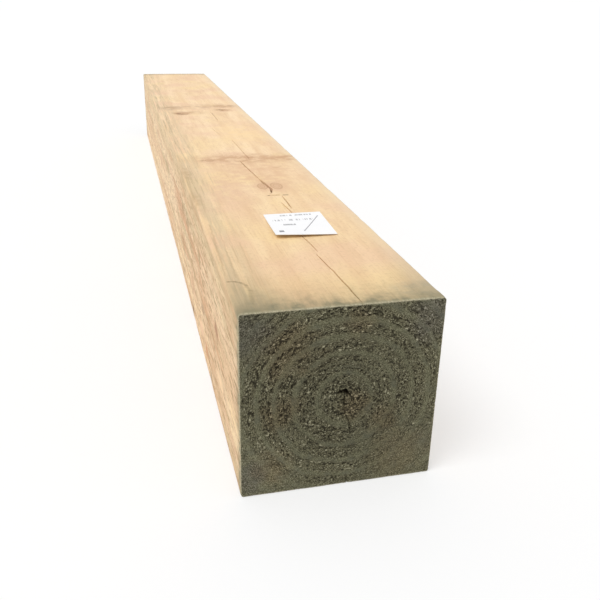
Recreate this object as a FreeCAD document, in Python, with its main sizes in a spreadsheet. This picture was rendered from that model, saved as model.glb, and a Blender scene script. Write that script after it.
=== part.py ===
import FreeCAD, Part
import math
import os
import Sketcher
from FreeCAD import Placement, Rotation, Vector

# Timber house pile: a sawn square post with the heart of the tree inside it, lying
# on its side, with a card label fixed to its upper face.
# Frame: X across, Y along the pile (near end at -Y), Z up, origin at the middle of
# the underside. Sizes are in millimetres.

os.makedirs("parts", exist_ok=True)
doc = FreeCAD.newDocument("house_pile")

# name, value, note
SIZES = [
    ("pile_width", 125.0, "section, across"),
    ("pile_height", 125.0, "section, upright"),
    ("pile_length", 1200.0, "length along the grain"),
    ("arris_radius", 2.0, "softened long edges"),
    ("end_chamfer", 0.6, "edge broken by the cross-cut"),
    ("pith_side", 2.0, "pith, right of the middle"),
    ("pith_up", 67.5, "pith, above the underside"),
    ("pith_span", 6.5, "length of the pith hole"),
    ("pith_gap", 2.6, "width of the pith hole"),
    ("pith_depth", 9.0, "how far the pith has shrunk back"),
    ("ray_check_gap", 0.7, "check running down from the pith"),
    ("ray_check_length", 21.0, "its length on the end"),
    ("ray_check_depth", 12.0, "its depth into the end"),
    ("check_depth", 9.0, "seasoning checks in the upper face"),
    ("knot_crack_depth", 3.0, "crack across the upper knot"),
    ("label_width", 46.0, "card, across"),
    ("label_length", 59.0, "card, along"),
    ("label_thick", 0.4, "card"),
    ("label_side", 11.5, "middle of the card, right of the middle of the face"),
    ("label_from_end", 123.0, "near edge of the card from the near end"),
    ("label_curl", 3.0, "lift of the near left corner"),
    ("label_curl_low", 0.5, "lift of the near right corner"),
    ("label_curl_run", 34.0, "length of the curled part"),
]

sheet = doc.addObject("Spreadsheet::Sheet", "Sizes")
sheet.set("A1", "name")
sheet.set("B1", "mm")
sheet.set("C1", "note")
for row, (name, value, note) in enumerate(SIZES, start=2):
    sheet.set(f"A{row}", name)
    sheet.set(f"B{row}", str(value))
    sheet.set(f"C{row}", note)
    sheet.setAlias(f"B{row}", name)
doc.recompute()

# Seasoning checks in the upper face, as paths of (right of the middle, from the near
# end), with the widest opening of each. They run with the grain and step sideways.
TOP_CHECKS = {
    "check_end": (0.9, [(10.6, -2.0), (10.1, 12.0), (8.6, 53.0), (7.0, 87.0), (5.4, 128.0)]),
    "check_label": (0.9, [(12.6, 176.0), (11.6, 190.0), (9.4, 214.0)]),
    "check_step": (0.9, [(14.2, 198.0), (15.0, 216.0), (14.6, 236.0)]),
    "check_knot": (1.8, [(7.0, 254.0), (9.6, 264.0), (7.6, 279.0), (5.2, 314.0),
                         (3.0, 345.0), (0.9, 377.0)]),
}
KNOT_CRACK = [(5.8, 239.2), (15.6, 237.8), (15.9, 241.6), (6.2, 243.4)]


def bind(obj, prop, expression):
    """Tie one property to the sheet of sizes."""
    obj.setExpression(prop, expression)


def origin_plane(body, role):
    """One of the body's own origin planes."""
    return next(f for f in body.Origin.OriginFeatures if f.Role == role)


def new_body(name):
    """A body that stands in the shared frame."""
    body = doc.addObject("PartDesign::Body", name)
    body.Label = name
    body.Placement = Placement(Vector(0, 0, 0), Rotation())
    return body


def new_sketch(body, name, role, offset=None):
    """A sketch on an origin plane; offset holds expressions for its shift."""
    sketch = body.newObject("Sketcher::SketchObject", name)
    sketch.Label = name
    sketch.AttachmentSupport = [(origin_plane(body, role), "")]
    sketch.MapMode = "FlatFace"
    for axis, expression in (offset or {}).items():
        bind(sketch, f"AttachmentOffset.Base.{axis}", expression)
    return sketch


def add_polygon(sketch, points):
    """A closed outline through the points, held where it is drawn."""
    count = len(points)
    for i in range(count):
        a, b = points[i], points[(i + 1) % count]
        sketch.addGeometry(Part.LineSegment(Vector(a[0], a[1], 0), Vector(b[0], b[1], 0)), False)
    for i in range(count):
        sketch.addConstraint(Sketcher.Constraint("Coincident", i, 2, (i + 1) % count, 1))
    for i in range(count):
        sketch.addConstraint(Sketcher.Constraint("Block", i))


def add_rectangle(sketch, width, height, low_x, low_y):
    """A rectangle whose size and low corner follow expressions."""
    corners = [Vector(0, 0, 0), Vector(10, 0, 0), Vector(10, 10, 0), Vector(0, 10, 0)]
    for i in range(4):
        sketch.addGeometry(Part.LineSegment(corners[i], corners[(i + 1) % 4]), False)
    for i in range(4):
        sketch.addConstraint(Sketcher.Constraint("Coincident", i, 2, (i + 1) % 4, 1))
    for i, kind in enumerate(("Horizontal", "Vertical", "Horizontal", "Vertical")):
        sketch.addConstraint(Sketcher.Constraint(kind, i))
    sizes = [
        ("wide", Sketcher.Constraint("DistanceX", 0, 1, 0, 2, 10.0), width),
        ("tall", Sketcher.Constraint("DistanceY", 1, 1, 1, 2, 10.0), height),
        ("low_x", Sketcher.Constraint("DistanceX", -1, 1, 0, 1, 1.0), low_x),
        ("low_y", Sketcher.Constraint("DistanceY", -1, 1, 0, 1, 1.0), low_y),
    ]
    for name, constraint, expression in sizes:
        sketch.renameConstraint(sketch.addConstraint(constraint), name)
        bind(sketch, f"Constraints.{name}", expression)


def slit_outline(path, widest):
    """Outline of a check: pointed at both ends and widest in the middle of its path."""
    last = len(path) - 1
    left, right = [], []
    for i in range(1, last):
        half = widest / 2 * min(1.0, 0.55 + 1.8 * min(i, last - i) / last)
        left.append((path[i][0] - half, path[i][1]))
        right.append((path[i][0] + half, path[i][1]))
    return [path[0]] + right + [path[last]] + left[::-1]


def pocket(body, sketch, name, depth, reverse=False):
    """Cut the sketch into the body to a depth and check that it removed wood."""
    doc.recompute()
    before = body.Shape.Volume
    cut = body.newObject("PartDesign::Pocket", name)
    cut.Label = name
    cut.Profile = sketch
    cut.Reversed = reverse
    bind(cut, "Length", depth)
    doc.recompute()
    if not body.Shape.Volume < before - 1.0:
        raise RuntimeError(f"{name} cut nothing")
    return cut


# ---------------------------------------------------------------- the sawn pile
pile = new_body("pile")
section = new_sketch(pile, "section", "XZ_Plane")
add_rectangle(section, "Sizes.pile_width", "Sizes.pile_height", "-Sizes.pile_width / 2", "0")
stock = pile.newObject("PartDesign::Pad", "stock")
stock.Profile = section
stock.SideType = "Symmetric"
bind(stock, "Length", "Sizes.pile_length")
doc.recompute()


def long_edges(shape):
    """Names of the straight edges that run along Y."""
    names = []
    for i, edge in enumerate(shape.Edges, start=1):
        run = edge.Vertexes[-1].Point - edge.Vertexes[0].Point
        if abs(run.y) > 0.9 * edge.Length and abs(run.y) > 100:
            names.append(f"Edge{i}")
    return names


def end_edges(shape):
    """Names of the edges around the two end faces."""
    half = sheet.get("pile_length") / 2
    return [f"Edge{i}" for i, edge in enumerate(shape.Edges, start=1)
            if abs(abs(edge.CenterOfMass.y) - half) < 0.01]


arrises = pile.newObject("PartDesign::Fillet", "arrises")
arrises.Base = (stock, long_edges(stock.Shape))
bind(arrises, "Radius", "Sizes.arris_radius")
doc.recompute()

ends = pile.newObject("PartDesign::Chamfer", "ends")
ends.Base = (arrises, end_edges(arrises.Shape))
bind(ends, "Size", "Sizes.end_chamfer")
doc.recompute()

# The pith has shrunk to a crooked hole at each end, and a fine check runs down from
# it at the near end.
for name, sign, reverse in (("pith_near", "", False), ("pith_far", "-", True)):
    sketch = new_sketch(pile, name + "_outline", "XZ_Plane",
                        {"z": f"{sign}Sizes.pile_length / 2"})
    add_rectangle(sketch, "Sizes.pith_span", "Sizes.pith_gap",
                  "Sizes.pith_side - Sizes.pith_span / 2",
                  "Sizes.pith_up - Sizes.pith_gap / 2")
    pocket(pile, sketch, name, "Sizes.pith_depth", reverse)

sketch = new_sketch(pile, "ray_check_outline", "XZ_Plane", {"z": "Sizes.pile_length / 2"})
add_rectangle(sketch, "Sizes.ray_check_gap", "Sizes.ray_check_length",
              "Sizes.pith_side - Sizes.ray_check_gap / 2",
              "Sizes.pith_up - Sizes.ray_check_length")
pocket(pile, sketch, "ray_check", "Sizes.ray_check_depth")

UPPER_NEAR = {"y": "-Sizes.pile_length / 2", "z": "Sizes.pile_height"}
for name, (widest, path) in TOP_CHECKS.items():
    sketch = new_sketch(pile, name + "_outline", "XY_Plane", UPPER_NEAR)
    add_polygon(sketch, slit_outline(path, widest))
    pocket(pile, sketch, name, "Sizes.check_depth")
sketch = new_sketch(pile, "knot_crack_outline", "XY_Plane", UPPER_NEAR)
add_polygon(sketch, KNOT_CRACK)
pocket(pile, sketch, "knot_crack", "Sizes.knot_crack_depth")

# ---------------------------------------------------------------- the card label
# The card lies flat and lifts towards its near edge, more at the left than at the
# right, so it is lofted between its two side profiles. In each profile a flat part
# runs into an arc, tangent to it, that ends at the card's near edge.
label = new_body("label")


def card_profile(name, side, lift):
    """The card's long side: x from its near edge, y up from the wood."""
    sketch = new_sketch(label, name, "YZ_Plane", {
        "x": "-Sizes.pile_length / 2 + Sizes.label_from_end",
        "y": "Sizes.pile_height",
        "z": f"Sizes.label_side {side} Sizes.label_width / 2",
    })
    run, rise = sheet.get("label_curl_run"), sheet.get(lift)
    end, thick = sheet.get("label_length"), sheet.get("label_thick")
    centre = Vector(run, (run * run + rise * rise) / (2 * rise), 0)
    bend = math.asin(run / centre.y)
    start = -math.pi / 2 - bend

    def line(x1, y1, x2, y2):
        return sketch.addGeometry(Part.LineSegment(Vector(x1, y1, 0), Vector(x2, y2, 0)), False)

    def arc(radius):
        circle = Part.Circle(centre, Vector(0, 0, 1), radius)
        return sketch.addGeometry(Part.ArcOfCircle(circle, start, -math.pi / 2), False)

    def tie(kind, *where):
        return sketch.addConstraint(Sketcher.Constraint(kind, *where))

    def size(label_text, kind, where, value, expression):
        index = sketch.addConstraint(Sketcher.Constraint(kind, *where, value))
        sketch.renameConstraint(index, label_text)
        bind(sketch, f"Constraints.{label_text}", expression)

    under = line(run, 0, end, 0)
    tip = line(end, 0, end, thick)
    over = line(end, thick, run, thick)
    edge = line(0, rise, 0, rise + thick)
    curl_under = arc(centre.y)
    curl_over = arc(centre.y - thick)
    tie("Coincident", under, 2, tip, 1)
    tie("Coincident", tip, 2, over, 1)
    tie("Tangent", curl_under, 2, under, 1)
    tie("Tangent", curl_over, 2, over, 2)
    tie("Coincident", curl_under, 1, edge, 1)
    tie("Coincident", curl_over, 1, edge, 2)
    tie("Horizontal", under)
    tie("Horizontal", over)
    tie("Vertical", tip)
    tie("Vertical", edge)
    tie("Vertical", under, 1, over, 2)
    tie("PointOnObject", under, 1, -1)
    tie("PointOnObject", edge, 1, -2)
    size("long", "DistanceX", (-1, 1, under, 2), end, "Sizes.label_length")
    size("flat_from", "DistanceX", (-1, 1, under, 1), run, "Sizes.label_curl_run")
    size("thick", "DistanceY", (tip, 1, tip, 2), thick, "Sizes.label_thick")
    size("lift", "DistanceY", (-1, 1, edge, 1), rise, f"Sizes.{lift}")
    size("edge_thick", "DistanceY", (edge, 1, edge, 2), thick, "Sizes.label_thick")
    return sketch


left_side = card_profile("card_left", "-", "label_curl")
right_side = card_profile("card_right", "+", "label_curl_low")
card = label.newObject("PartDesign::AdditiveLoft", "card")
card.Profile = left_side
card.Sections = [right_side]
card.Ruled = True
doc.recompute()

# ---------------------------------------------------------------- check and write
for obj in doc.Objects:
    if "Invalid" in obj.State or "Error" in obj.State:
        raise RuntimeError(f"{obj.Name}: {obj.State}")
for body in (pile, label):
    shape = body.Shape
    if shape.isNull() or not shape.isValid() or len(shape.Solids) != 1:
        raise RuntimeError(f"{body.Name} is not one valid solid")
    shape.exportStep(f"parts/{body.Name}.step")
    box = shape.BoundBox
    print(body.Name, round(shape.Volume), "mm3",
          [round(v, 2) for v in (box.XMin, box.YMin, box.ZMin, box.XMax, box.YMax, box.ZMax)])
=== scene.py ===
import math

import bpy
import numpy as np
from mathutils import Euler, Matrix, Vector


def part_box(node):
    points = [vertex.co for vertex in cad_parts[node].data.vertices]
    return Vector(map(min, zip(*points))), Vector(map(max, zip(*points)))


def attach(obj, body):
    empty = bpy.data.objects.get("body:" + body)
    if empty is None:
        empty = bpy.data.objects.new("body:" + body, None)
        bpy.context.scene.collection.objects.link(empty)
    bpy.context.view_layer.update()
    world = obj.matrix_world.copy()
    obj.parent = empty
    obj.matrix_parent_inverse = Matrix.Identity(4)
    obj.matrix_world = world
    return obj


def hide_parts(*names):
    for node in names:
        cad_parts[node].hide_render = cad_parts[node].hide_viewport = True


# Timber house pile lying on its side. X is across, Y along the grain (the labelled end
# is at -Y), Z up. Shapes are worked out in millimetres and stored in metres.

MM = 0.001
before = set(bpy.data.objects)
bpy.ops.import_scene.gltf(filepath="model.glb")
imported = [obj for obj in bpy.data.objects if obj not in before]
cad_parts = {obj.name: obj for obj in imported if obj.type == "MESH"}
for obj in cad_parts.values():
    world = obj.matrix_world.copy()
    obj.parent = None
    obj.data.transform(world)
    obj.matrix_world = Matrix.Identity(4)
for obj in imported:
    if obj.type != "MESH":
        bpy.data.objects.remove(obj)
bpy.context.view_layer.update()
low, high = (np.array(corner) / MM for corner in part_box("pile"))
HALF = (high[0] - low[0]) / 2          # half the section's side
MIDDLE = (high[2] + low[2]) / 2        # height of the section's centre
NEAR, FAR = low[1], high[1]


# ------------------------------------------------------------------ small tools
def srgb(red, green, blue):
    """Linear colour of an 8-bit sRGB one, with alpha."""
    def linear(value):
        value /= 255
        return value / 12.92 if value <= 0.04045 else ((value + 0.055) / 1.055) ** 2.4
    return (linear(red), linear(green), linear(blue), 1.0)


def smooth(value, start, end):
    """Smooth step from 0 at start to 1 at end."""
    t = np.clip((value - start) / (end - start), 0, 1)
    return t * t * (3 - 2 * t)


def noise(x, y, z, seed=0):
    """Value noise from 0 to 1 with a cell of 1, the same on every run."""
    x, y, z = np.broadcast_arrays(x, y, z)
    cell = [np.floor(v).astype(np.int64) for v in (x, y, z)]
    part = [v - c for v, c in zip((x, y, z), cell)]
    part = [v * v * (3 - 2 * v) for v in part]
    total = np.zeros(x.shape)
    for corner in range(8):
        step = [corner >> bit & 1 for bit in range(3)]
        key = sum((c + s) * prime for c, s, prime in
                  zip(cell, step, (374761393, 668265263, 1274126177))) + seed * 974634777
        key = (key ^ (key >> 13)) & 0x7FFFFFFF
        key = (key * 1103515245 + 12345) & 0x7FFFFFFF
        key = (key ^ (key >> 16)) / 0x7FFFFFFF
        weight = 1.0
        for p, s in zip(part, step):
            weight = weight * (p if s else 1 - p)
        total += key * weight
    return total


# ------------------------------------------------------------------ the tree
PITH_SIDE, PITH_UP = 2.0, 67.5         # where the pith meets the near end
RINGS = [0.0, 17.8, 32.4, 44.0, 54.7, 65.5, 77.0, 90.0, 104.0]        # latewood radii
RING_DROP = 5.0                        # the outer rings are centred this far below the pith


def pith(y):
    """The pith wanders a little along the pile."""
    along = y - NEAR
    return (PITH_SIDE + 3.0 * np.sin(along / 310), PITH_UP + 2.5 * np.sin(along / 260))


# Knots are branches that start at the pith: height on the pile, heading (degrees, 90 is
# up, 0 to the right), radius at the surface across and along the grain.
KNOTS = [
    (271.0, 90.0, 4.8, 11.0),
    (271.0, 77.0, 5.3, 11.5),
    (268.0, 205.0, 6.0, 9.0),
    (262.0, 320.0, 9.0, 10.0),
    (384.0, 122.0, 3.2, 6.0),
    (384.0, 0.0, 9.0, 10.0),
    (388.0, 250.0, 8.0, 9.0),
    (689.0, 119.0, 4.5, 9.0),
    (712.0, 62.0, 4.0, 7.0),
    (745.0, 61.0, 4.0, 7.0),
    (700.0, 190.0, 8.0, 9.0),
    (735.0, 285.0, 9.0, 10.0),
    (1010.0, 150.0, 7.0, 9.0),
    (1030.0, 20.0, 8.0, 9.0),
    (1022.0, 262.0, 8.0, 9.0),
]


def knot_distance(x, y, z, knot):
    """Distance from a branch's axis, 1 at its edge; far away behind the pith."""
    height, heading, across, along = knot
    pith_x, pith_z = pith(NEAR + height)
    turn = math.radians(heading)
    out = (x - pith_x) * math.cos(turn) + (z - pith_z) * math.sin(turn)
    side = (x - pith_x) * math.sin(turn) - (z - pith_z) * math.cos(turn)
    up = y - (NEAR + height) - 0.10 * (out - 57)
    grow = np.clip(out / 60, 0.15, 1.2)
    return np.where(out > 0, np.hypot(side / (across * grow), up / (along * grow)), 9.0)


def ring_radius(x, y, z):
    """Distance from the pith, bent so that each growth ring has one value."""
    pith_x, pith_z = pith(y)
    dx, dz = x - pith_x, z - pith_z
    drop = RING_DROP * (1 - np.exp(-np.hypot(dx, dz) / 12))
    radius = np.hypot(dx, dz + drop)
    radius = radius + 3.2 * (noise(dx / 24, y / 420, dz / 24, 3) - 0.5)
    radius = radius + 1.4 * (noise(dx / 9, y / 300, dz / 9, 4) - 0.5)
    for knot in KNOTS:
        away = knot_distance(x, y, z, knot)
        radius = radius + 5.0 * np.exp(-(away / 1.9) ** 2)
    return radius


def ring_phase(radius):
    """Growth rings: whole numbers are the middles of the latewood bands."""
    return np.interp(radius, RINGS, np.arange(len(RINGS)))


# Seasoning checks as (right of the middle, from the near end), with their width and
# depth. Each track is a line of mesh columns that follows its checks.
TRACKS = [
    [
        (1.0, 6.5, [(10.5, 5), (9.3, 28), (8.6, 40), (8.1, 54), (6.9, 70), (5.5, 87)]),
        (0.9, 6.0, [(8.2, 92), (7.0, 109), (5.7, 124), (5.3, 129)]),
        (1.0, 5.0, [(12.6, 176), (11.6, 190), (9.6, 216)]),
        (2.8, 9.0, [(8.0, 250), (10.8, 262), (8.2, 280), (6.8, 296)]),
        (1.2, 5.0, [(6.7, 297), (5.2, 314), (3.0, 345), (0.9, 377)]),
        (0.6, 2.5, [(0.8, 516), (-1.6, 548), (-3.3, 574)]),
    ],
    [
        (1.1, 5.0, [(14.2, 197), (15.0, 216), (14.6, 237)]),
        (0.7, 3.0, [(12.4, 384), (11.3, 438), (10.2, 489)]),
        (0.5, 2.5, [(12.8, 628), (12.0, 665), (10.9, 708)]),
    ],
]
CHECK_TAPER = 10.0                     # length over which a check opens
CROSS_CRACK = (237.6, 242.6, 5.8, 15.8, 2.4)     # near, far, left, right, depth


def follow(track, y):
    """A track's side position, and its checks' width and depth, at heights y."""
    along = y - NEAR
    points = [point for _, _, path in track for point in path]
    side = np.interp(along, [p[1] for p in points], [p[0] for p in points])
    width = np.full(along.shape, 0.3)
    depth = np.zeros(along.shape)
    for wide, deep, path in track:
        start, end = path[0][1], path[-1][1]
        ease = np.clip(np.minimum(along - start, end - along) / CHECK_TAPER, 0, 1)
        ease = np.where((along > start) & (along < end), ease ** 0.5, 0)
        width = np.maximum(width, wide * (0.35 + 0.65 * ease) * (ease > 0))
        depth = np.maximum(depth, deep * ease)
    side = side + 0.5 * (noise(along / 9, side * 0, side * 0, 5) - 0.5)
    return side, width, depth


# ------------------------------------------------------------------ the pile's mesh
ARRIS = 2.0
FLAT = HALF - ARRIS
ARC_STEPS = 4
FACE_STEPS = 40                        # columns on a long face
END_BREAK = 0.55                       # chamfer that the cross-cut leaves
# Each end: its plane, the way to the wood behind it, squares along a side, size of the
# pits and a seed.
ENDS = ((NEAR, 1, 188, 1.35, 0.5), (FAR, -1, 104, 2.2, 7.5))
# Loops of the broken edge, outwards from an end: how far back, share of end, share of arris.
EDGE_LOOPS = ((0.6, 0.35, 1.0), (1.7, 0.0, 0.30))
ROWS_NEAR, ROW_GROWTH = 3.4, 4.6       # row spacing at the near end and what it gains
SHARP_ANGLE = 38.0                     # edges that bend more than this stay sharp, in degrees


def quarter_turn(x, w, times):
    """Points turned clockwise by quarter turns, seen from the near end."""
    for _ in range(times % 4):
        x, w = w, -x
    return x, w


def row_heights():
    """Heights of the rows of the long faces, closer together at the near end."""
    rows = [NEAR + 3.0]
    while rows[-1] < FAR - 3.0:
        share = (rows[-1] - NEAR) / (FAR - NEAR)
        rows.append(rows[-1] + ROWS_NEAR + ROW_GROWTH * smooth(share, 0.2, 0.9))
    rows[-1] = FAR - 3.0
    near, far = CROSS_CRACK[0] + NEAR, CROSS_CRACK[1] + NEAR
    rows = [y for y in rows if not near - 0.8 < y < far + 0.8]
    middle = (near + far) / 2
    rows += [near, middle - 0.9, middle + 0.9, far]
    return np.array(sorted(rows))


def top_columns(y):
    """Side positions of the top face's columns at heights y, with the check columns.

    Returns the positions and, for each column, how deep it lies in a check."""
    sides, depths = [], []

    def fill(start, end, steps, first=False):
        for i in range(0 if first else 1, steps + 1):
            sides.append(start + (end - start) * i / steps)
            depths.append(np.zeros(y.shape))

    edge_low, edge_high = np.full(y.shape, -12.0), np.full(y.shape, 24.0)
    fill(np.full(y.shape, -FLAT), edge_low, 18, first=True)
    last = edge_low
    for track, steps in zip(TRACKS, (5, 2)):
        side, width, depth = follow(track, y)
        fill(last, side - width / 2, steps)
        sides.append(side)
        depths.append(depth)
        sides.append(side + width / 2)
        depths.append(np.zeros(y.shape))
        last = side + width / 2
    fill(last, edge_high, 5)
    fill(edge_high, np.full(y.shape, FLAT), 13)
    return np.array(sides), np.array(depths)


def arc():
    """Points of the corner between the top and the right face, ends left out."""
    angles = np.linspace(math.pi / 2, 0, ARC_STEPS + 1)[1:-1]
    return FLAT + ARRIS * np.cos(angles), FLAT + ARRIS * np.sin(angles)


def long_loops(y):
    """Section loops of the long faces: x, w, outward normal and depth in a check."""
    shape = (y.size, 1)
    parts = []
    for turn in range(4):
        if turn == 0:
            side, depth = top_columns(y)
            x, depth = side.T, depth.T
        else:
            x = np.tile(np.linspace(-FLAT, FLAT, FACE_STEPS + 1), shape)
            depth = np.zeros(x.shape)
        w = np.full(x.shape, HALF)
        arc_x, arc_w = arc()
        x = np.hstack([x, np.tile(arc_x, shape)])
        w = np.hstack([w, np.tile(arc_w, shape)])
        depth = np.hstack([depth, np.zeros((y.size, arc_x.size))])
        nx = np.clip(x - FLAT, 0, None) - np.clip(-FLAT - x, 0, None)
        nw = np.clip(w - FLAT, 0, None)
        size = np.hypot(nx, nw)
        x, w = quarter_turn(x, w, turn)
        nx, nw = quarter_turn(nx / size, nw / size, turn)
        parts.append((x, w, nx, nw, depth))
    return [np.hstack([part[i] for part in parts]) for i in range(5)]


def cap_grid(steps, inset):
    """An end's grid over the rounded square: x and w, rows from the bottom up."""
    half, radius = HALF - inset, max(ARRIS - inset, 0.4)
    line = np.linspace(-half, half, steps + 1)
    x, w = np.meshgrid(line, line)
    u, v = np.abs(x) - (half - radius), np.abs(w) - (half - radius)
    corner = (u > 0) & (v > 0)
    reach, length = np.maximum(u, v), np.hypot(u, v)
    pull = np.where(corner, reach / np.where(corner, length, 1), 1)
    x = np.where(corner, np.sign(x) * (half - radius + u * pull), x)
    w = np.where(corner, np.sign(w) * (half - radius + v * pull), w)
    return x, w


def rim(grid):
    """A grid's outline, clockwise from the top left corner, seen from the near end."""
    return np.concatenate([grid[-1, :-1], grid[::-1, -1][:-1], grid[0, ::-1][:-1], grid[:-1, 0]])


def around(x, w):
    """How far round the section a point lies, from 0 to 4, from the top left corner."""
    flat = np.array([w, x, -w, -x])
    face = np.argmax(flat + np.array([3e-6, 2e-6, 1e-6, 0])[:, None], axis=0)
    run = np.choose(face, [x, -w, -x, w])
    return face + np.clip((run + HALF) / (2 * HALF), 0, 1 - 1e-9)


def ordered(loop_x, loop_w):
    """Places round the section that only rise, for one loop."""
    place = around(loop_x, loop_w)
    start = place[0]
    place = np.where(place < start - 1e-6, place + 4, place)
    return place


def zip_loops(first, first_place, second, second_place):
    """Triangles between two closed loops; the first has the lower Y."""
    faces, i, j = [], 0, 0
    n, m = len(first), len(second)
    first_place = np.append(first_place, first_place[0] + 4)
    second_place = np.append(second_place, second_place[0] + 4)
    while i < n or j < m:
        if j == m or (i < n and first_place[i + 1] <= second_place[j + 1]):
            faces.append((first[i % n], first[(i + 1) % n], second[j % m]))
            i += 1
        else:
            faces.append((first[i % n], second[(j + 1) % m], second[j % m]))
            j += 1
    return faces


def face_wear(x, y, w, phase):
    """How far the long faces lie inside the nominal section."""
    along = y - NEAR
    z = w + MIDDLE
    wear = 0.22 * noise(x / 34, along / 150, w / 34, 11)
    wear += 0.10 * noise(x / 60, along / 4.5, w / 60, 12)
    late = 1 - smooth(np.abs(phase - np.round(phase)), 0.05, 0.30)
    wear += 0.12 * (1 - late)
    corner = smooth(np.minimum(np.abs(x), np.abs(w)), FLAT - 3.5, FLAT + 1.2)
    chips = smooth(noise(x / 9, along / 16, w / 9, 13), 0.6, 0.95)
    wear += corner * (0.20 * noise(x / 20, along / 40, w / 20, 14) + 0.30 * chips)
    for knot in KNOTS:
        away = knot_distance(x, y, z, knot)
        wear += 0.25 * np.exp(-((away - 1.25) / 0.28) ** 2)
    return wear


CALM = math.radians(-52)               # heading from the pith where the saw tore least
FALSE_RINGS = [12.5, 21.8, 25.2]       # thin hard lines inside a year's wood


def end_relief(x, z, radius, seed, size):
    """The sawn end: how torn it is, its pits and flecks, and its depth below the cut.

    The soft wood just outside each latewood ring tears most. Pits and flecks are about
    size millimetres wide."""
    u, v = 0.8 * x + 0.6 * z, 0.8 * z - 0.6 * x
    rings = np.array(RINGS)
    inner = np.clip(np.searchsorted(rings, radius, side="right") - 1, 0, len(rings) - 2)
    ragged = 0.8 * noise(u / 2.0, v / 1.4, seed, 26) + 1.7 * noise(u / 9, v / 9, seed, 27) - 1.25
    torn = smooth(radius - rings[inner] + ragged, 0.6, 1.7)
    torn = torn * smooth(rings[inner + 1] - radius + ragged, 0.7, 3.4)
    dx, dz = x - PITH_SIDE, z - PITH_UP
    away = np.hypot(dx, dz) + 0.01
    calm = smooth((dx * math.cos(CALM) + dz * math.sin(CALM)) / away, 0.72, 0.99)
    calm = calm * smooth(away, 16, 42)
    sector = smooth(np.sin(np.arctan2(dz, dx) + 0.5), 0.2, 0.8)
    for ring in FALSE_RINGS:
        torn = torn * (1 - 0.75 * sector * np.exp(-((radius - ring) / 0.7) ** 2))
    torn *= (1 - 0.40 * calm) * smooth(noise(u / 14, v / 14, seed, 28), -0.5, 0.6)
    torn *= 1 - 0.3 * smooth(-dx - dz, 74, 100)
    torn *= 1 - 0.35 * smooth(away, 54, 72)
    torn = 0.05 + 0.95 * torn
    place = x / size, radius / (0.7 * size), z / size
    pits = smooth(noise(*place, 21), 0.50, 0.82) * torn
    flecks = smooth(noise(*place, 22), 0.72, 0.90) * torn
    depth = 0.45 * torn + 1.0 * pits - 0.45 * flecks
    depth += 0.12 * noise(u / 18, v / 18, seed, 24)
    depth += (0.08 + 0.34 * calm) * noise(x / 9, z / 1.4, seed, 25)
    return torn, pits, flecks, np.clip(depth, 0, None)


# Tints of the near end as (right of the middle, up, reach, strength).
TINTS = {
    "brown": [(9, 58, 12, 0.7), (-33, 98, 22, 0.6), (-38, 58, 15, 0.6), (-44, 18, 14, 0.6),
              (40, 20, 24, 0.5), (27, 46, 13, 0.6), (9, 113, 12, 0.5)],
    "blue": [(-57, 110, 17, 1.0), (56, 112, 20, 1.0), (60, 25, 14, 0.3), (-56, 15, 13, 0.9)],
    "pale": [(-48, 14, 30, 1.0), (54, 110, 22, 0.6), (46, 14, 26, 0.5), (-6, 14, 22, 0.4),
             (44, 62, 18, 0.3)],
}


def tint(name, x, z):
    """Strength of a tint on the end."""
    total = np.zeros(x.shape)
    for side, up, reach, strength in TINTS[name]:
        away = np.hypot(x - side, z - up) / reach + 0.5 * (noise(x / 6, z / 6, side, 29) - 0.5)
        total = np.maximum(total, strength * (1 - smooth(away, 0.25, 1.2)))
    return total


HOLE = (6.2, 1.9, -18.0, 7.0)          # pith hole: length, width, tilt in degrees, depth
RAY_PATH = [(2.0, 66.0), (2.2, 55.0), (5.4, 46.0), (6.6, 38.0)]   # check below the pith
RIM_PATH = [(5.6, 6.5), (5.9, 0.0)]    # short check at the bottom edge


def pith_wear(x, z):
    """The pith's crooked hole and the fine checks of the end, with their depths."""
    length, width, tilt, hole_depth = HOLE
    turn = math.radians(tilt)
    dx, dz = x - PITH_SIDE, z - PITH_UP - 0.3
    run = dx * math.cos(turn) + dz * math.sin(turn)
    rise = -dx * math.sin(turn) + dz * math.cos(turn) - 0.9 * np.cos(run * 0.8) + 0.5
    hole = 1 - smooth(np.hypot(run / (length / 2), rise / (width / 2)), 0.7, 1.6)
    check = np.zeros(x.shape)
    for path, strength in ((RAY_PATH, 0.55), (RIM_PATH, 0.6)):
        ups = [up for _, up in path[::-1]]
        side = np.interp(z, ups, [at for at, _ in path[::-1]])
        side = side + 0.5 * (noise(z / 4, z * 0, z * 0, 30) - 0.5)
        inside = smooth(z, ups[0] - 0.5, ups[0] + 3) * (1 - smooth(z, ups[-1] - 2, ups[-1] + 0.5))
        if ups[0] <= 0:
            inside = 1 - smooth(z, ups[-1] - 2, ups[-1] + 0.5)
        check = np.maximum(check, strength * inside * (1 - smooth(np.abs(x - side), 0.15, 0.75)))
    return hole_depth * hole + 2.5 * check, hole, check


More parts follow.
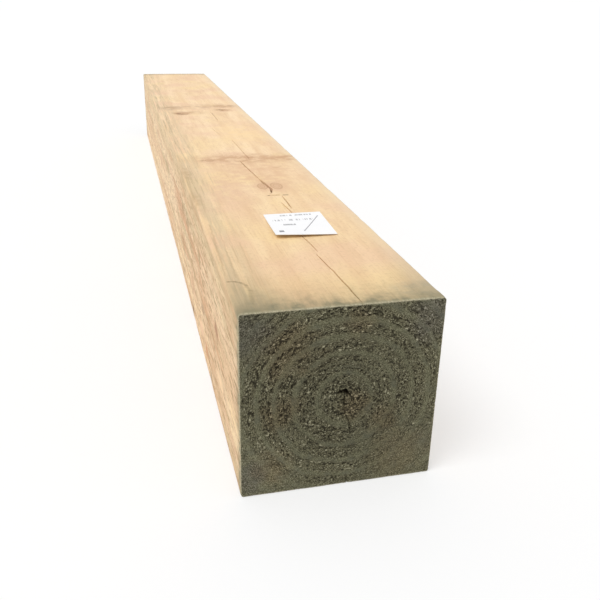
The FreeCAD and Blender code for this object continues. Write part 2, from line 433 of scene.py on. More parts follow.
class Shape:
    """Collects vertices, faces and per-vertex fields of one mesh."""

    def __init__(self, **defaults):
        self.defaults = defaults
        self.points, self.faces, self.count = [], [], 0
        self.fields = {name: [] for name in defaults}

    def add(self, x, y, z, **fields):
        """Adds vertices and returns their numbers in the same arrangement."""
        x, y, z = np.broadcast_arrays(x, y, z)
        self.points.append(np.stack([x.ravel(), y.ravel(), z.ravel()], axis=1))
        for name, default in self.defaults.items():
            value = np.broadcast_to(fields.get(name, default), x.shape)
            self.fields[name].append(value.ravel())
        numbers = np.arange(self.count, self.count + x.size).reshape(x.shape)
        self.count += x.size
        return numbers

    def quads(self, numbers, closed=False, flip=False):
        """Squares between the rows of a grid of vertex numbers."""
        if closed:
            numbers = np.hstack([numbers, numbers[:, :1]])
        a, b = numbers[:-1, :-1], numbers[:-1, 1:]
        c, d = numbers[1:, 1:], numbers[1:, :-1]
        order = (a, d, c, b) if flip else (a, b, c, d)
        self.faces += np.stack([v.ravel() for v in order], axis=1).tolist()

    def build(self, name):
        """The finished object, in metres."""
        mesh = bpy.data.meshes.new(name)
        mesh.from_pydata((np.concatenate(self.points) * MM).tolist(), [], self.faces)
        for field, values in self.fields.items():
            layer = mesh.attributes.new(field, "FLOAT", "POINT")
            layer.data.foreach_set("value", np.concatenate(values).astype(np.float32))
        mesh.validate()
        mesh.update()
        piece = bpy.data.objects.new(name, mesh)
        bpy.context.collection.objects.link(piece)
        return piece


def knot_field(x, y, z):
    """Distance from the nearest knot's axis, 1 at its edge."""
    nearest = np.full(np.shape(x), 9.0)
    for knot in KNOTS:
        nearest = np.minimum(nearest, knot_distance(x, y, z, knot))
    return nearest


def add_long_faces(shape):
    """The long faces with their checks. Returns the vertices and the section's points."""
    rows = row_heights()
    x, w, nx, nw, depth = long_loops(rows)
    y = np.tile(rows[:, None], (1, x.shape[1]))
    phase = ring_phase(ring_radius(x, y, w + MIDDLE))
    near, far, left, right, crack_depth = CROSS_CRACK
    across = (np.abs(y - NEAR - (near + far) / 2) < 1.2) & (w > HALF - 0.01)
    bend = np.clip(np.minimum(x - left, right - x) / 2.5, 0, 1)
    sunk = np.maximum(depth, np.where(across, crack_depth * bend, 0))
    inward = face_wear(x, y, w, phase) + sunk
    # The crack value darkens the checks' colour by how deep they are sunk: painted shade inside them
    sides = shape.add(x - nx * inward, y, w + MIDDLE - nw * inward, ring=phase,
                      knot=knot_field(x, y, w + MIDDLE), crack=np.clip(sunk / 5, 0, 1))
    shape.quads(sides, closed=True)
    return sides, x, w


def add_cut(shape, plane, sign, steps, size, seed):
    """One torn end, as a grid of vertices."""
    x, w = cap_grid(steps, END_BREAK)
    z = w + MIDDLE
    radius = ring_radius(x, np.full(x.shape, plane), z)
    torn, pits, flecks, depth = end_relief(x, z, radius, seed, size)
    hole_depth, hole, check = pith_wear(x, z)
    edge = smooth(np.maximum(np.abs(x), np.abs(w)), HALF - 2.0, HALF - END_BREAK)
    depth = depth * (1 - 0.6 * edge) + hole_depth
    tints = {name: tint(name, x, z) for name in TINTS}
    # The crack value on the end is painted shade in the pith hole and the end's fine checks
    cut = shape.add(x, plane + sign * depth, z, ring=ring_phase(radius), end=1.0, rough=torn,
                    pit=pits, fleck=flecks, crack=np.maximum(hole, 0.6 * check),
                    arris=0.5 * smooth(edge, 0.8, 1.0), **tints)
    shape.quads(cut, flip=sign < 0)
    return cut


def add_broken_edge(shape, plane, sign, x, w):
    """Ragged loops that lead from an end's outline x, w onto the long faces."""
    loops = []
    for step, (back, end, arris) in enumerate(EDGE_LOOPS):
        y = plane + sign * (back + 0.5 * noise(x / 2.2, w / 2.2, step, 31))
        phase = ring_phase(ring_radius(x, y, w + MIDDLE))
        worn = face_wear(x, y, w, phase)
        if step == 0:
            worn = worn + 0.5 * noise(x / 1.8, w / 1.8, step, 32)
        if plane == NEAR:
            check = follow(TRACKS[0], y)[0]
            worn = worn + 0.8 * (1 - smooth(np.abs(x - check), 0.3, 0.9)) * (w > FLAT)
        shrink = 1 - worn / np.maximum(np.abs(x), np.abs(w))
        loops.append(shape.add(x * shrink, y, w * shrink + MIDDLE, ring=phase, end=end,
                               arris=arris))
    return loops


def build_pile():
    """The sawn post as one closed mesh with its relief, checks and torn ends."""
    shape = Shape(ring=0.0, end=0.0, rough=0.0, pit=0.0, fleck=0.0, crack=0.0, arris=0.0,
                  knot=9.0, **dict.fromkeys(TINTS, 0.0))
    sides, x, w = add_long_faces(shape)
    for plane, sign, steps, size, seed in ENDS:
        row = 0 if plane == NEAR else -1
        cut = add_cut(shape, plane, sign, steps, size, seed)
        outline = [rim(v) for v in cap_grid(steps, 0.0)]
        loops = [rim(cut)] + add_broken_edge(shape, plane, sign, *outline)
        edge, side = (loops[-1], ordered(*outline)), (sides[row], ordered(x[row], w[row]))
        if plane == NEAR:
            shape.quads(np.array(loops), closed=True)
            shape.faces += zip_loops(*edge, *side)
        else:
            shape.quads(np.array(loops[::-1]), closed=True)
            shape.faces += zip_loops(*side, *edge)
    piece = shape.build("sawn_pile")
    for polygon in piece.data.polygons:
        polygon.use_smooth = True
    piece.data.set_sharp_from_angle(angle=math.radians(SHARP_ANGLE))
    return piece


# ------------------------------------------------------------------ the label's mesh
# The card's corners on the upper face as (right of the middle, from the near end).
CARD = {"near_left": (-14.8, 123.2), "near_right": (31.5, 123.8),
        "far_right": (33.9, 182.6), "far_left": (-12.4, 182.0)}
CARD_THICK = 0.35
CARD_LIFT = (2.75, 0.45)               # of the near edge, at its left and right corner


def build_card():
    """The thin card, flat at its far edge and tilting up to its near left corner."""
    shape = Shape(side=0.0, up=0.0)
    s, t = np.meshgrid(np.linspace(0, 1, 25), np.linspace(0, 1, 31))
    corner = {name: np.array(place) for name, place in CARD.items()}
    near = corner["near_left"] + (corner["near_right"] - corner["near_left"]) * s[..., None]
    far = corner["far_left"] + (corner["far_right"] - corner["far_left"]) * s[..., None]
    place = near + (far - near) * t[..., None]
    left, right = CARD_LIFT
    lift = (right + (left - right) * (1 - s) ** 1.15) * np.clip(1 - t / 0.92, 0, 1) ** 1.25
    lift += 0.05 + 0.15 * t * (1 - t) * noise(s * 3, t * 3, 0.5, 41)
    z = high[2] + lift
    y = NEAR + place[..., 1]
    under = shape.add(place[..., 0], y, z, side=s, up=t)
    over = shape.add(place[..., 0], y, z + CARD_THICK, side=s, up=t)
    shape.quads(under, flip=True)
    shape.quads(over)
    shape.quads(np.array([rim(under), rim(over)]), closed=True, flip=True)
    return shape.build("card_label")


# ------------------------------------------------------------------ material tools
class Nodes:
    """Builds one material's nodes; every method returns an output socket."""

    def __init__(self, name):
        self.material = bpy.data.materials.new(name)
        self.material.use_nodes = True
        self.tree = self.material.node_tree
        self.tree.nodes.clear()

    def node(self, kind, inputs=(), **settings):
        node = self.tree.nodes.new(kind)
        for key, value in settings.items():
            setattr(node, key, value)
        for slot, value in dict(inputs).items():
            self.feed(node.inputs[slot], value)
        return node

    def feed(self, socket, value):
        if isinstance(value, bpy.types.NodeSocket):
            self.tree.links.new(value, socket)
        elif value is not None:
            socket.default_value = value

    def math(self, operation, a, b=None, c=None, clamp=False):
        node = self.node("ShaderNodeMath", {0: a, 1: b, 2: c}, operation=operation)
        node.use_clamp = clamp
        return node.outputs[0]

    def times(self, a, b):
        return self.math("MULTIPLY", a, b)

    def vector(self, operation, a, b):
        node = self.node("ShaderNodeVectorMath", {0: a, 1: b}, operation=operation)
        return node.outputs[0]

    def mix(self, share, a, b, blend="MIX"):
        node = self.node("ShaderNodeMix", {0: share, 6: a, 7: b}, data_type="RGBA",
                         blend_type=blend)
        return node.outputs[2]

    def noise(self, where, scale, detail=2.0, roughness=0.5):
        node = self.node("ShaderNodeTexNoise", {"Vector": where, "Scale": scale, "Detail": detail,
                         "Roughness": roughness})
        return node.outputs["Fac"]

    def layers(self, base, layers):
        """Lays colours over base, one after another, each as (share, sRGB colour)."""
        for share, colour in layers:
            base = self.mix(share, base, srgb(*colour))
        return base

    def field(self, name):
        return self.node("ShaderNodeAttribute", attribute_name=name).outputs["Fac"]

    def length(self, value):
        node = self.node("ShaderNodeVectorMath", {0: value}, operation="LENGTH")
        return node.outputs["Value"]

    def blot(self, place, centre, reach):
        """1 at the centre of an ellipsoid, fading to 0 at its edge."""
        away = self.vector("SUBTRACT", place, centre)
        away = self.vector("MULTIPLY", away, [1 / r for r in reach])
        return self.ramp(self.length(away), 0.05, 1.0, 1.0, 0.0)

    def line(self, place, start, end, half, core=0.3):
        """1 on the line between two points, fading to 0 from a share of half to half."""
        run = [b - a for a, b in zip(start, end)]
        away = self.vector("SUBTRACT", place, start)
        dot = self.node("ShaderNodeVectorMath", {0: away, 1: run}, operation="DOT_PRODUCT")
        share = self.math("DIVIDE", dot.outputs["Value"], sum(v * v for v in run), clamp=True)
        scale = self.node("ShaderNodeVectorMath", {0: run, "Scale": share}, operation="SCALE")
        away = self.vector("SUBTRACT", away, scale.outputs[0])
        return self.ramp(self.length(away), core * half, half, 1.0, 0.0)

    def ramp(self, value, start, end, low=0.0, high=1.0):
        """Maps value from start..end smoothly to low..high, clamped."""
        node = self.node("ShaderNodeMapRange", {0: value, 1: start, 2: end, 3: low, 4: high},
                         interpolation_type="SMOOTHSTEP")
        return node.outputs[0]

    def within(self, value, middle, inner, outer):
        """1 where value is within inner of the middle, fading to 0 at outer."""
        away = self.math("ABSOLUTE", self.math("SUBTRACT", value, middle))
        return self.ramp(away, inner, outer, 1.0, 0.0)

    def finish(self, colour, roughness, height=None, distance=0.0, specular=0.25):
        shader = self.node("ShaderNodeBsdfPrincipled", {"Base Color": colour,
                           "Roughness": roughness, "Specular IOR Level": specular})
        if height is not None:
            bump = self.node("ShaderNodeBump", {"Height": height, "Distance": distance,
                             "Strength": 1.0})
            self.feed(shader.inputs["Normal"], bump.outputs[0])
        out = self.node("ShaderNodeOutputMaterial")
        self.feed(out.inputs["Surface"], shader.outputs[0])
        return self.material


# Soft marks on the faces: centre (right, along, up), reach each way, colour, strength.
BLOTS = [
    ((10, 325, 125), (78, 110, 9), (230, 192, 154), 0.75),
    ((-30, 262, 125), (30, 70, 9), (228, 190, 160), 0.55),
    ((6, 388, 125), (86, 36, 9), (206, 164, 128), 0.75),
    ((50, 386, 125), (24, 22, 9), (204, 160, 124), 0.55),
    ((-32, 386, 125), (11, 8, 6), (160, 118, 84), 0.70),
    ((-20, 696, 125), (38, 22, 9), (208, 170, 132), 0.60),
    ((-30, 689, 125), (17, 20, 9), (164, 122, 84), 0.85),
    ((-30, 687, 125), (9, 12, 6), (100, 70, 44), 0.90),
    ((30, 714, 125), (18, 16, 9), (176, 134, 96), 0.75),
    ((30, 718, 125), (8, 9, 6), (126, 88, 56), 0.70),
    ((38, 752, 125), (28, 14, 9), (168, 128, 94), 0.75),
    ((5, 750, 125), (80, 36, 9), (208, 172, 140), 0.55),
    ((-42, 742, 125), (24, 32, 9), (186, 156, 126), 0.60),
    ((12, 270, 125), (24, 22, 9), (222, 182, 146), 0.40),
    ((13, 240, 125), (6, 4, 4), (200, 186, 140), 0.70),
    ((26, 530, 125), (50, 120, 9), (252, 220, 170), 0.60),
    ((52, 15, 125), (24, 18, 9), (172, 170, 154), 0.60),
    ((-48, 5, 125), (26, 10, 9), (150, 138, 110), 0.80),
    ((-61, 235, 121), (9, 55, 14), (190, 162, 122), 0.50),
    ((-60, 330, 121), (8, 60, 14), (184, 156, 116), 0.50),
    ((-62, 23, 42), (7, 26, 17), (246, 214, 166), 0.70),
    ((-62, 87, 34), (7, 30, 12), (248, 216, 174), 0.70),
    ((-62, 100, 68), (7, 15, 10), (172, 130, 100), 0.80),
    ((-62, 138, 45), (7, 9, 7), (180, 146, 106), 0.70),
    ((-62, 140, 8), (7, 10, 7), (150, 138, 116), 0.60),
    ((-62, 167, 18), (7, 17, 10), (204, 144, 104), 0.80),
    ((-62, 185, 45), (7, 15, 10), (172, 138, 112), 0.75),
    ((-62, 178, 73), (7, 9, 7), (180, 148, 108), 0.70),
    ((-62, 200, 85), (7, 13, 10), (168, 140, 98), 0.80),
    ((-62, 203, 22), (7, 26, 12), (246, 204, 172), 0.60),
    ((-62, 236, 38), (7, 15, 7), (184, 152, 112), 0.65),
    ((-62, 240, 87), (7, 15, 10), (190, 160, 114), 0.55),
    ((-62, 276, 7), (7, 18, 7), (124, 102, 78), 0.65),
    ((-62, 293, 26), (7, 16, 7), (178, 148, 108), 0.60),
    ((-62, 300, 87), (7, 26, 10), (162, 134, 96), 0.80),
    ((-62, 342, 88), (7, 26, 8), (166, 138, 100), 0.75),
    ((-62, 357, 47), (7, 16, 7), (178, 148, 110), 0.60),
    ((-62, 367, 13), (7, 32, 7), (172, 136, 114), 0.60),
    ((-62, 560, 80), (7, 60, 10), (180, 150, 112), 0.65),
]
# Thin marks on the upper face: start and end (right, along), half width, colour, strength.
LINES = [
    # The first six draw a curved check that has no depth: its dark line is painted shade.
    ((-63, 51), (-60.0, 49), 1.3, (136, 112, 82), 0.50),
    ((-60.0, 49), (-56.0, 48), 1.3, (136, 112, 82), 0.48),
    ((-56.0, 48), (-53.0, 45.5), 1.4, (140, 116, 84), 0.45),
    ((-53.0, 45.5), (-50.5, 41), 1.5, (146, 122, 90), 0.40),
    ((-50.5, 41), (-49.5, 33), 1.7, (150, 128, 94), 0.36),
    ((-49.5, 33), (-51.0, 18), 2.4, (150, 130, 98), 0.34),
    ((-60.5, 60), (-57.0, 165), 1.1, (176, 146, 110), 0.30),
    ((-54.5, 55), (-52.0, 150), 1.0, (184, 154, 118), 0.28),
    ((-48.5, 80), (-46.5, 175), 0.9, (192, 162, 124), 0.25),
    ((-43.0, 60), (-41.5, 120), 0.9, (192, 160, 122), 0.22),
    # Dark line over the cross check: painted shade along it.
    ((3.5, 239.5), (20.0, 238.5), 1.6, (112, 80, 50), 0.75),
    ((6.5, 246), (8.5, 250), 1.3, (180, 138, 96), 0.50),
    ((29.0, 342), (38.0, 345), 1.0, (176, 128, 88), 0.45),
    ((12.0, 628), (12.6, 690), 1.2, (190, 150, 112), 0.45),
]


class Timber(Nodes):
    """The fields that the timber's layers share, and one method for each layer."""

    def __init__(self, name):
        super().__init__(name)
        coords = self.node("ShaderNodeTexCoord").outputs["Object"]
        self.place = self.vector("MULTIPLY", coords, (1 / MM, 1 / MM, 1 / MM))
        self.parts = self.node("ShaderNodeSeparateXYZ", {0: self.place}).outputs
        self.from_near = self.math("SUBTRACT", self.parts["Y"], float(NEAR))
        self.from_far = self.math("SUBTRACT", float(FAR), self.parts["Y"])
        self.on_side = self.ramp(self.parts["Z"], high[2] - 5.0, high[2] - 1.0, 1.0, 0.0)
        self.ring, self.end = self.field("ring"), self.field("end")
        self.rough, self.crack = self.field("rough"), self.field("crack")
        self.grain = self.vector("MULTIPLY", self.place, (1.0, 0.035, 1.0))
        self.stretched = self.vector("MULTIPLY", self.place, (1.0, 0.22, 1.0))
        self.fibre = self.noise(self.grain, 0.9, 3.0, 0.6)
        self.cloud = self.noise(self.place, 0.018, 3.0)
        self.mottle = self.noise(self.stretched, 0.10, 3.0, 0.55)
        self.grit = self.noise(self.place, 0.40, 2.0, 0.6)
        year = self.math("FRACT", self.math("ADD", self.ring, 0.5))
        self.late = self.within(year, 0.5, 0.02, 0.26)
        x, ring, z = (self.times(v, scale) for v, scale in
                      ((self.parts["X"], 0.8), (self.ring, 13.0), (self.parts["Z"], 0.8)))
        along_rings = self.node("ShaderNodeCombineXYZ", {0: x, 1: ring, 2: z}).outputs[0]
        self.fine = self.noise(along_rings, 1.35, 2.0, 0.6)

    def upper_face(self):
        """Honey and pale wood with streaks, rings, clouds, fibres and saw fuzz."""
        streak = self.noise(self.grain, 0.10, 3.0)
        face = self.mix(self.ramp(self.from_near, 20.0, 480.0), srgb(247, 218, 174),
                        srgb(253, 225, 187))
        return self.layers(face, [
            (self.ramp(self.from_near, 20.0, 75.0, 0.5, 0.0), (240, 204, 152)),
            (self.ramp(streak, 0.38, 0.70, 0.0, 0.40), (234, 198, 156)),
            (self.times(self.late, 0.20), (226, 184, 138)),
            (self.ramp(self.cloud, 0.48, 0.66, 0.0, 0.45), (238, 198, 168)),
            (self.ramp(self.cloud, 0.34, 0.48, 0.45, 0.0), (250, 222, 168)),
            (self.ramp(self.mottle, 0.44, 0.70, 0.0, 0.40), (228, 192, 152)),
            (self.ramp(self.fibre, 0.50, 0.80, 0.0, 0.34), (208, 168, 126)),
            (self.ramp(self.grit, 0.48, 0.74, 0.0, 0.34), (210, 176, 134)),
        ])

    def weather_and_arris_shade(self, face):
        """The upper face's left part is greyer and streaky, its right part pale, then grey along the
        right arris, where the grey is painted shade of the rounded arris turning away from the light.
        """
        right = self.parts["X"]
        edge = self.math("ADD", right, self.times(self.cloud, 26.0))
        left = self.times(self.ramp(edge, -48.0, -14.0, 0.62, 0.0),
                          self.ramp(self.noise(self.grain, 0.22, 4.0, 0.65), 0.38, 0.58))
        dark = self.times(self.ramp(self.noise(self.grain, 0.55, 4.0, 0.62), 0.50, 0.62),
                          self.ramp(self.from_near, 120.0, 320.0, 0.45, 0.68))
        # Painted shade: a grey line along the right arris, where the rounded arris turns away from
        # the light
        grey = self.times(self.ramp(right, 60.4, 61.8),
                          self.ramp(self.from_near, 60.0, 450.0, 0.45, 0.95))
        return self.layers(face, [
            (left, (208, 186, 151)),
            (self.times(left, dark), (172, 148, 114)),
            (self.ramp(right, 44.0, 60.0, 0.0, 0.4), (236, 216, 186)),
            (grey, (172, 171, 158)),
        ])

    def side_faces(self):
        """Streakier wood with long pinkish, olive and pale patches, calmer further off; greyer within
        6 mm of the floor, which is painted shade where the pile sits on the floor.
        """
        up = self.parts["Z"]
        drawn = self.vector("MULTIPLY", self.place, (1.0, 0.07, 1.0))
        patch = self.noise(drawn, 0.085, 4.0, 0.62)
        olive = self.noise(self.vector("ADD", drawn, (70.0, 0.0, 30.0)), 0.080, 4.0, 0.60)
        hair = self.noise(self.vector("MULTIPLY", self.place, (1.0, 0.10, 1.0)), 0.50, 4.0, 0.66)
        worn = self.ramp(self.from_near, 250.0, 700.0, 1.0, 0.62)
        sides = self.mix(self.ramp(self.from_near, 100.0, 600.0), srgb(240, 211, 174),
                         srgb(247, 223, 187))
        return self.layers(sides, [
            (self.times(self.ramp(patch, 0.50, 0.62, 0.0, 0.95), worn), (214, 168, 131)),
            (self.ramp(patch, 0.34, 0.46, 0.85, 0.0), (255, 230, 186)),
            (self.ramp(olive, 0.52, 0.64, 0.0, 0.65), (206, 186, 146)),
            (self.times(self.late, 0.35), (218, 176, 132)),
            (self.times(self.ramp(self.mottle, 0.44, 0.72, 0.0, 0.55), worn), (204, 168, 130)),
            (self.times(self.ramp(hair, 0.50, 0.62, 0.0, 0.85), worn), (164, 128, 90)),
            (self.ramp(self.grit, 0.52, 0.68, 0.0, 0.45), (180, 144, 106)),
            (self.ramp(up, 88.0, 118.0, 0.0, 0.45), (206, 182, 140)),
            # Painted shade: greyer towards the floor, within 6 mm of it
            (self.ramp(up, 0.0, 6.0, 0.5, 0.0), (200, 174, 148)),
        ])

    def marks(self, face):
        """The soft and the thin marks, with ragged outlines."""
        shift = self.node("ShaderNodeTexNoise", {"Vector": self.place, "Scale": 0.11,
                          "Detail": 3.0}).outputs["Color"]
        shift = self.vector("SUBTRACT", shift, (0.5, 0.5, 0.5))
        shift = self.vector("MULTIPLY", shift, (9.0, 14.0, 9.0))
        ragged = self.vector("ADD", self.place, shift)
        slight = self.vector("ADD", self.place, self.vector("MULTIPLY", shift, (0.25, 0.25, 0.0)))
        uneven = self.ramp(self.noise(self.place, 0.09, 3.0, 0.62), 0.36, 0.62, 0.35, 1.25)
        layers = []
        for (right, along, up), reach, colour, strength in BLOTS:
            share = self.times(self.blot(ragged, (right, NEAR + along, up), reach), uneven)
            layers.append((self.times(share, strength), colour))
        for start, stop, half, colour, strength in LINES:
            start, stop = ((right, NEAR + along, high[2]) for right, along in (start, stop))
            layers.append((self.times(self.line(slight, start, stop, half), strength), colour))
        return self.layers(face, layers)

    def knots(self, face):
        """A pinkish halo, a slightly darker body with rings, and an outline."""
        knot = self.field("knot")
        body = self.ramp(knot, 0.80, 1.15, 0.55, 0.0)
        rings = self.ramp(self.math("SINE", self.times(knot, 15.0)), 0.1, 1.0, 0.0, 0.45)
        return self.layers(face, [
            (self.ramp(knot, 1.0, 2.6, 0.35, 0.0), (226, 188, 154)),
            (body, (214, 176, 140)),
            (self.times(body, rings), (176, 134, 98)),
            (self.times(self.within(knot, 1.0, 0.0, 0.20), 0.30), (176, 134, 98)),
        ])

    def stain(self, face):
        """Grey-green stain that soaks in from the ends, deepest at the upper face's corners."""
        from_middle = self.math("ABSOLUTE", self.math("SUBTRACT", self.parts["X"], 4.0))
        reach = self.math("MULTIPLY_ADD", self.ramp(from_middle, 28.0, 56.0), 17.0, 15.0)
        reach = self.math("MULTIPLY_ADD", self.on_side, self.math("SUBTRACT", 6.0, reach), reach)
        soak = self.math("ADD", self.noise(self.stretched, 0.16, 3.0, 0.6),
                         self.noise(self.place, 0.13, 3.0, 0.65))
        soak = self.math("SUBTRACT", soak, 1.02)
        depth = self.math("MAXIMUM", self.math("MULTIPLY_ADD", soak, 24.0, self.from_near), 0.0)
        near = self.math("EXPONENT", self.math("DIVIDE", self.times(depth, -1.0), reach))
        depth = self.math("MAXIMUM", self.math("MULTIPLY_ADD", soak, 18.0, self.from_far), 0.0)
        far = self.times(self.math("EXPONENT", self.math("DIVIDE", depth, -11.0)), 0.9)
        share = self.times(self.math("MAXIMUM", near, far), 0.98)
        return self.layers(face, [(share, (140, 133, 106))])

    def end_grain(self):
        """Smooth latewood bands, and torn dark earlywood with pits and pale flecks; the pits'
        darkness is painted shade, and the flecks and the pale specks of the torn wood are painted
        highlights on raised fibres.
        """
        cloudy = self.noise(self.place, 0.10, 3.0, 0.6)
        saw = self.noise(self.vector("MULTIPLY", self.place, (0.16, 1.0, 1.0)), 0.7, 2.0, 0.6)
        band = self.mix(self.ramp(self.fine, 0.36, 0.62), srgb(72, 70, 50), srgb(120, 118, 93))
        band = self.mix(self.ramp(cloudy, 0.45, 0.65, 0.0, 0.6), band, srgb(90, 90, 74))
        torn = self.mix(self.ramp(self.fine, 0.38, 0.58), srgb(46, 42, 27), srgb(113, 109, 84))
        # Pale specks in the torn wood: painted highlights on raised fibres
        torn = self.mix(self.ramp(self.fine, 0.60, 0.69, 0.0, 0.85), torn, srgb(180, 176, 148))
        wood = self.layers(self.mix(self.rough, band, torn), [
            # Painted shade in the pits and painted highlights on the raised flecks
            (self.ramp(self.field("pit"), 0.15, 0.8, 0.0, 0.70), (34, 30, 17)),
            (self.ramp(self.field("fleck"), 0.15, 0.8, 0.0, 0.80), (182, 177, 148)),
            (self.ramp(saw, 0.54, 0.68, 0.0, 0.4), (66, 60, 44)),
        ])
        filters = [
            (self.ramp(self.ring, 1.0, 4.5, 0.8, 0.0), (0.82, 0.82, 0.82, 1.0)),
            (self.field("pale"), (1.28, 1.28, 1.30, 1.0)),
            (self.times(self.field("brown"), 0.7), srgb(255, 226, 208)),
            (self.times(self.field("blue"), 0.8), srgb(224, 222, 242)),
        ]
        for share, colour in filters:
            wood = self.mix(share, wood, colour, "MULTIPLY")
        return wood

    def openings(self, colour):
        """Pale arrises where the end's edge broke off, partly worn wood and partly a painted
        highlight, and painted shade inside the checks and the pith hole, darker the deeper they are.
        """
        # Pale rim of each end: paler worn wood there, with a painted highlight along the edge
        worn_edge_and_highlight = self.times(self.field("arris"), self.ramp(self.fine, 0.3, 0.7, 0.35, 1.0))
        colour = self.mix(worn_edge_and_highlight, colour, srgb(196, 188, 158))
        # Painted shade inside the checks and the pith hole, darker the deeper they are, darkest in
        # the end
        inside = self.mix(self.ramp(self.crack, 0.15, 0.75), srgb(150, 114, 76), srgb(58, 37, 20))
        inside = self.mix(self.end, inside, srgb(44, 30, 20))
        return self.mix(self.ramp(self.crack, 0.05, 0.6, 0.0, 0.92), colour, inside)


def timber_material():
    """Dry sawn pine: honey faces with grain, knots and stain, and grey-green torn ends."""
    n = Timber("timber_rough_sawn")
    face = n.weather_and_arris_shade(n.upper_face())
    face = n.mix(n.times(n.on_side, 0.9), face, n.side_faces())
    face = n.stain(n.knots(n.marks(face)))
    colour = n.openings(n.mix(n.end, face, n.end_grain()))
    height = n.math("ADD", n.times(n.fibre, 0.25), n.times(n.times(n.fine, n.rough), 0.8))
    return n.finish(colour, n.ramp(n.fibre, 0.2, 0.8, 0.72, 0.90), height, 0.6 * MM)


# The card's generic print, in shares of its width and length: rows of dashes as (from, to,
# level, half height, ink), a plain square's middle and a pen stroke's ends.
CARD_ROWS = [
    (0.26, 0.82, 0.90, 0.032, 0.55),
    (0.08, 0.80, 0.68, 0.045, 0.50),
    (0.19, 0.44, 0.46, 0.040, 0.60),
]
CARD_SQUARE = (0.13, 0.15)
CARD_STROKE = ((0.50, 0.15, 0.0), (0.91, 0.82, 0.0))


def card_material():
    """Matt white card with faint rows of dashes, a plain square and one plain pen stroke."""
    n = Nodes("card_matt")
    side, up = n.field("side"), n.field("up")
    mottle = n.noise(n.node("ShaderNodeTexCoord").outputs["Object"], 90.0, 3.0)
    colour = n.mix(mottle, srgb(255, 255, 255), srgb(248, 248, 250))
    spread = n.node("ShaderNodeCombineXYZ", {0: side, 1: up}).outputs[0]
    dashes = n.ramp(n.noise(n.vector("MULTIPLY", spread, (34.0, 4.0, 1.0)), 1.0, 1.0), 0.46, 0.56)
    prints = []
    for start, stop, level, half, ink in CARD_ROWS:
        reach = (stop - start) / 2
        row = n.times(n.within(up, level, half * 0.6, half),
                      n.within(side, (start + stop) / 2, reach * 0.96, reach))
        prints.append((n.times(n.times(row, dashes), ink), (70, 72, 80)))
    off = [n.math("ABSOLUTE", n.math("SUBTRACT", v, at)) for v, at in zip((side, up), CARD_SQUARE)]
    square = n.ramp(n.math("MAXIMUM", *off), 0.034, 0.044, 1.0, 0.0)
    prints.append((n.times(square, 0.75), (58, 62, 78)))
    stroke = n.line(spread, *CARD_STROKE, 0.014, core=0.43)
    prints.append((n.times(stroke, 0.6), (70, 72, 84)))
    return n.finish(n.layers(colour, prints), 0.55, mottle, 0.02 * MM, specular=0.3)


# ------------------------------------------------------------------ the scene
CAMERA_PLACE = (-0.11713, -0.95348, 0.28925)       # metres
CAMERA_TURN = (66.501, -1.110, -13.785)            # degrees
SENSOR, LENS = 36.0, 42.866
STUDIO_LIGHT = 0.64                    # even light from all round
SUN_LIGHT, SUN_SPREAD = 1.42, 30.0     # a soft sun and its width in degrees
SUN_HEADING = (0.45, 0.25, -0.86)
FLOOR_REACH = 30.0                     # metres each way
FLOOR_WHITE = 0.5                      # share of plain white in what the camera sees of the floor


def add_camera():
    camera = bpy.data.cameras.new("camera")
    camera.sensor_width, camera.lens = SENSOR, LENS
    camera.clip_start, camera.clip_end = 0.01, 100.0
    holder = bpy.data.objects.new("camera", camera)
    holder.location = CAMERA_PLACE
    holder.rotation_euler = Euler([math.radians(v) for v in CAMERA_TURN])
    bpy.context.collection.objects.link(holder)
    bpy.context.scene.camera = holder


def add_light(name, energy, angle, direction):
    """A soft sun that shines along direction."""
    sun = bpy.data.lights.new(name, "SUN")
    sun.energy, sun.angle = energy, math.radians(angle)
    holder = bpy.data.objects.new(name, sun)
    dx, dy, dz = direction
    holder.rotation_euler = (math.atan2(math.hypot(dx, dy), -dz), 0, math.atan2(dy, dx) - math.pi / 2)
    bpy.context.collection.objects.link(holder)


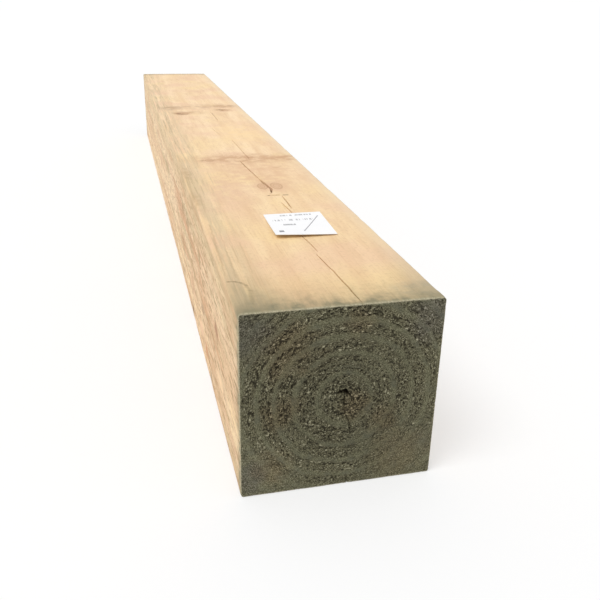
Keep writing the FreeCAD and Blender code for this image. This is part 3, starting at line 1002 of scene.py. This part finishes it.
def add_world(strength):
    """Even white light; what the camera or a reflection sees of it is plain white."""
    world = bpy.data.worlds.new("studio")
    bpy.context.scene.world = world
    world.use_nodes = True
    tree = world.node_tree
    tree.nodes.clear()
    path = tree.nodes.new("ShaderNodeLightPath")
    seen = tree.nodes.new("ShaderNodeMath")
    seen.operation = "MAXIMUM"
    tree.links.new(path.outputs["Is Camera Ray"], seen.inputs[0])
    tree.links.new(path.outputs["Is Glossy Ray"], seen.inputs[1])
    lit, plain, mix, out = (tree.nodes.new(kind) for kind in (
        "ShaderNodeBackground", "ShaderNodeBackground", "ShaderNodeMixShader",
        "ShaderNodeOutputWorld"))
    lit.inputs["Strength"].default_value = strength
    plain.inputs["Strength"].default_value = 1.0
    lit.inputs["Color"].default_value = plain.inputs["Color"].default_value = (1, 1, 1, 1)
    tree.links.new(seen.outputs[0], mix.inputs[0])
    tree.links.new(lit.outputs[0], mix.inputs[1])
    tree.links.new(plain.outputs[0], mix.inputs[2])
    tree.links.new(mix.outputs[0], out.inputs["Surface"])


def add_floor():
    """A plain pale floor that keeps the object's soft shadow."""
    mesh = bpy.data.meshes.new("floor")
    corners = [(x * FLOOR_REACH, y * FLOOR_REACH, 0) for x, y in ((-1, -1), (1, -1), (1, 1), (-1, 1))]
    mesh.from_pydata(corners, [], [(0, 1, 2, 3)])
    floor = bpy.data.objects.new("floor", mesh)
    bpy.context.collection.objects.link(floor)
    n = Nodes("floor_white")
    coords = n.node("ShaderNodeTexCoord").outputs["Object"]
    tone = n.mix(n.noise(coords, 3.0), srgb(255, 255, 255), srgb(253, 253, 253))
    n.finish(tone, 0.9, specular=0.0)
    out = next(node for node in n.tree.nodes if node.type == "OUTPUT_MATERIAL")
    lit = out.inputs["Surface"].links[0].from_socket
    white = n.node("ShaderNodeEmission", {"Color": (1, 1, 1, 1), "Strength": 1.0}).outputs[0]
    seen = n.node("ShaderNodeLightPath").outputs["Is Camera Ray"]
    mixed = n.node("ShaderNodeMixShader", {0: n.times(seen, FLOOR_WHITE), 1: lit, 2: white})
    n.feed(out.inputs["Surface"], mixed.outputs[0])
    mesh.materials.append(n.material)


add_camera()
bpy.context.scene.view_settings.view_transform = "Standard"
add_floor()
add_world(STUDIO_LIGHT)
add_light("key", SUN_LIGHT, SUN_SPREAD, SUN_HEADING)

pile = build_pile()
pile.data.materials.append(timber_material())
card = build_card()
card.data.materials.append(card_material())
for piece, node, slot in ((pile, "pile", "timber"), (card, "label", "card")):
    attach(piece, "root")
    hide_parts(node)
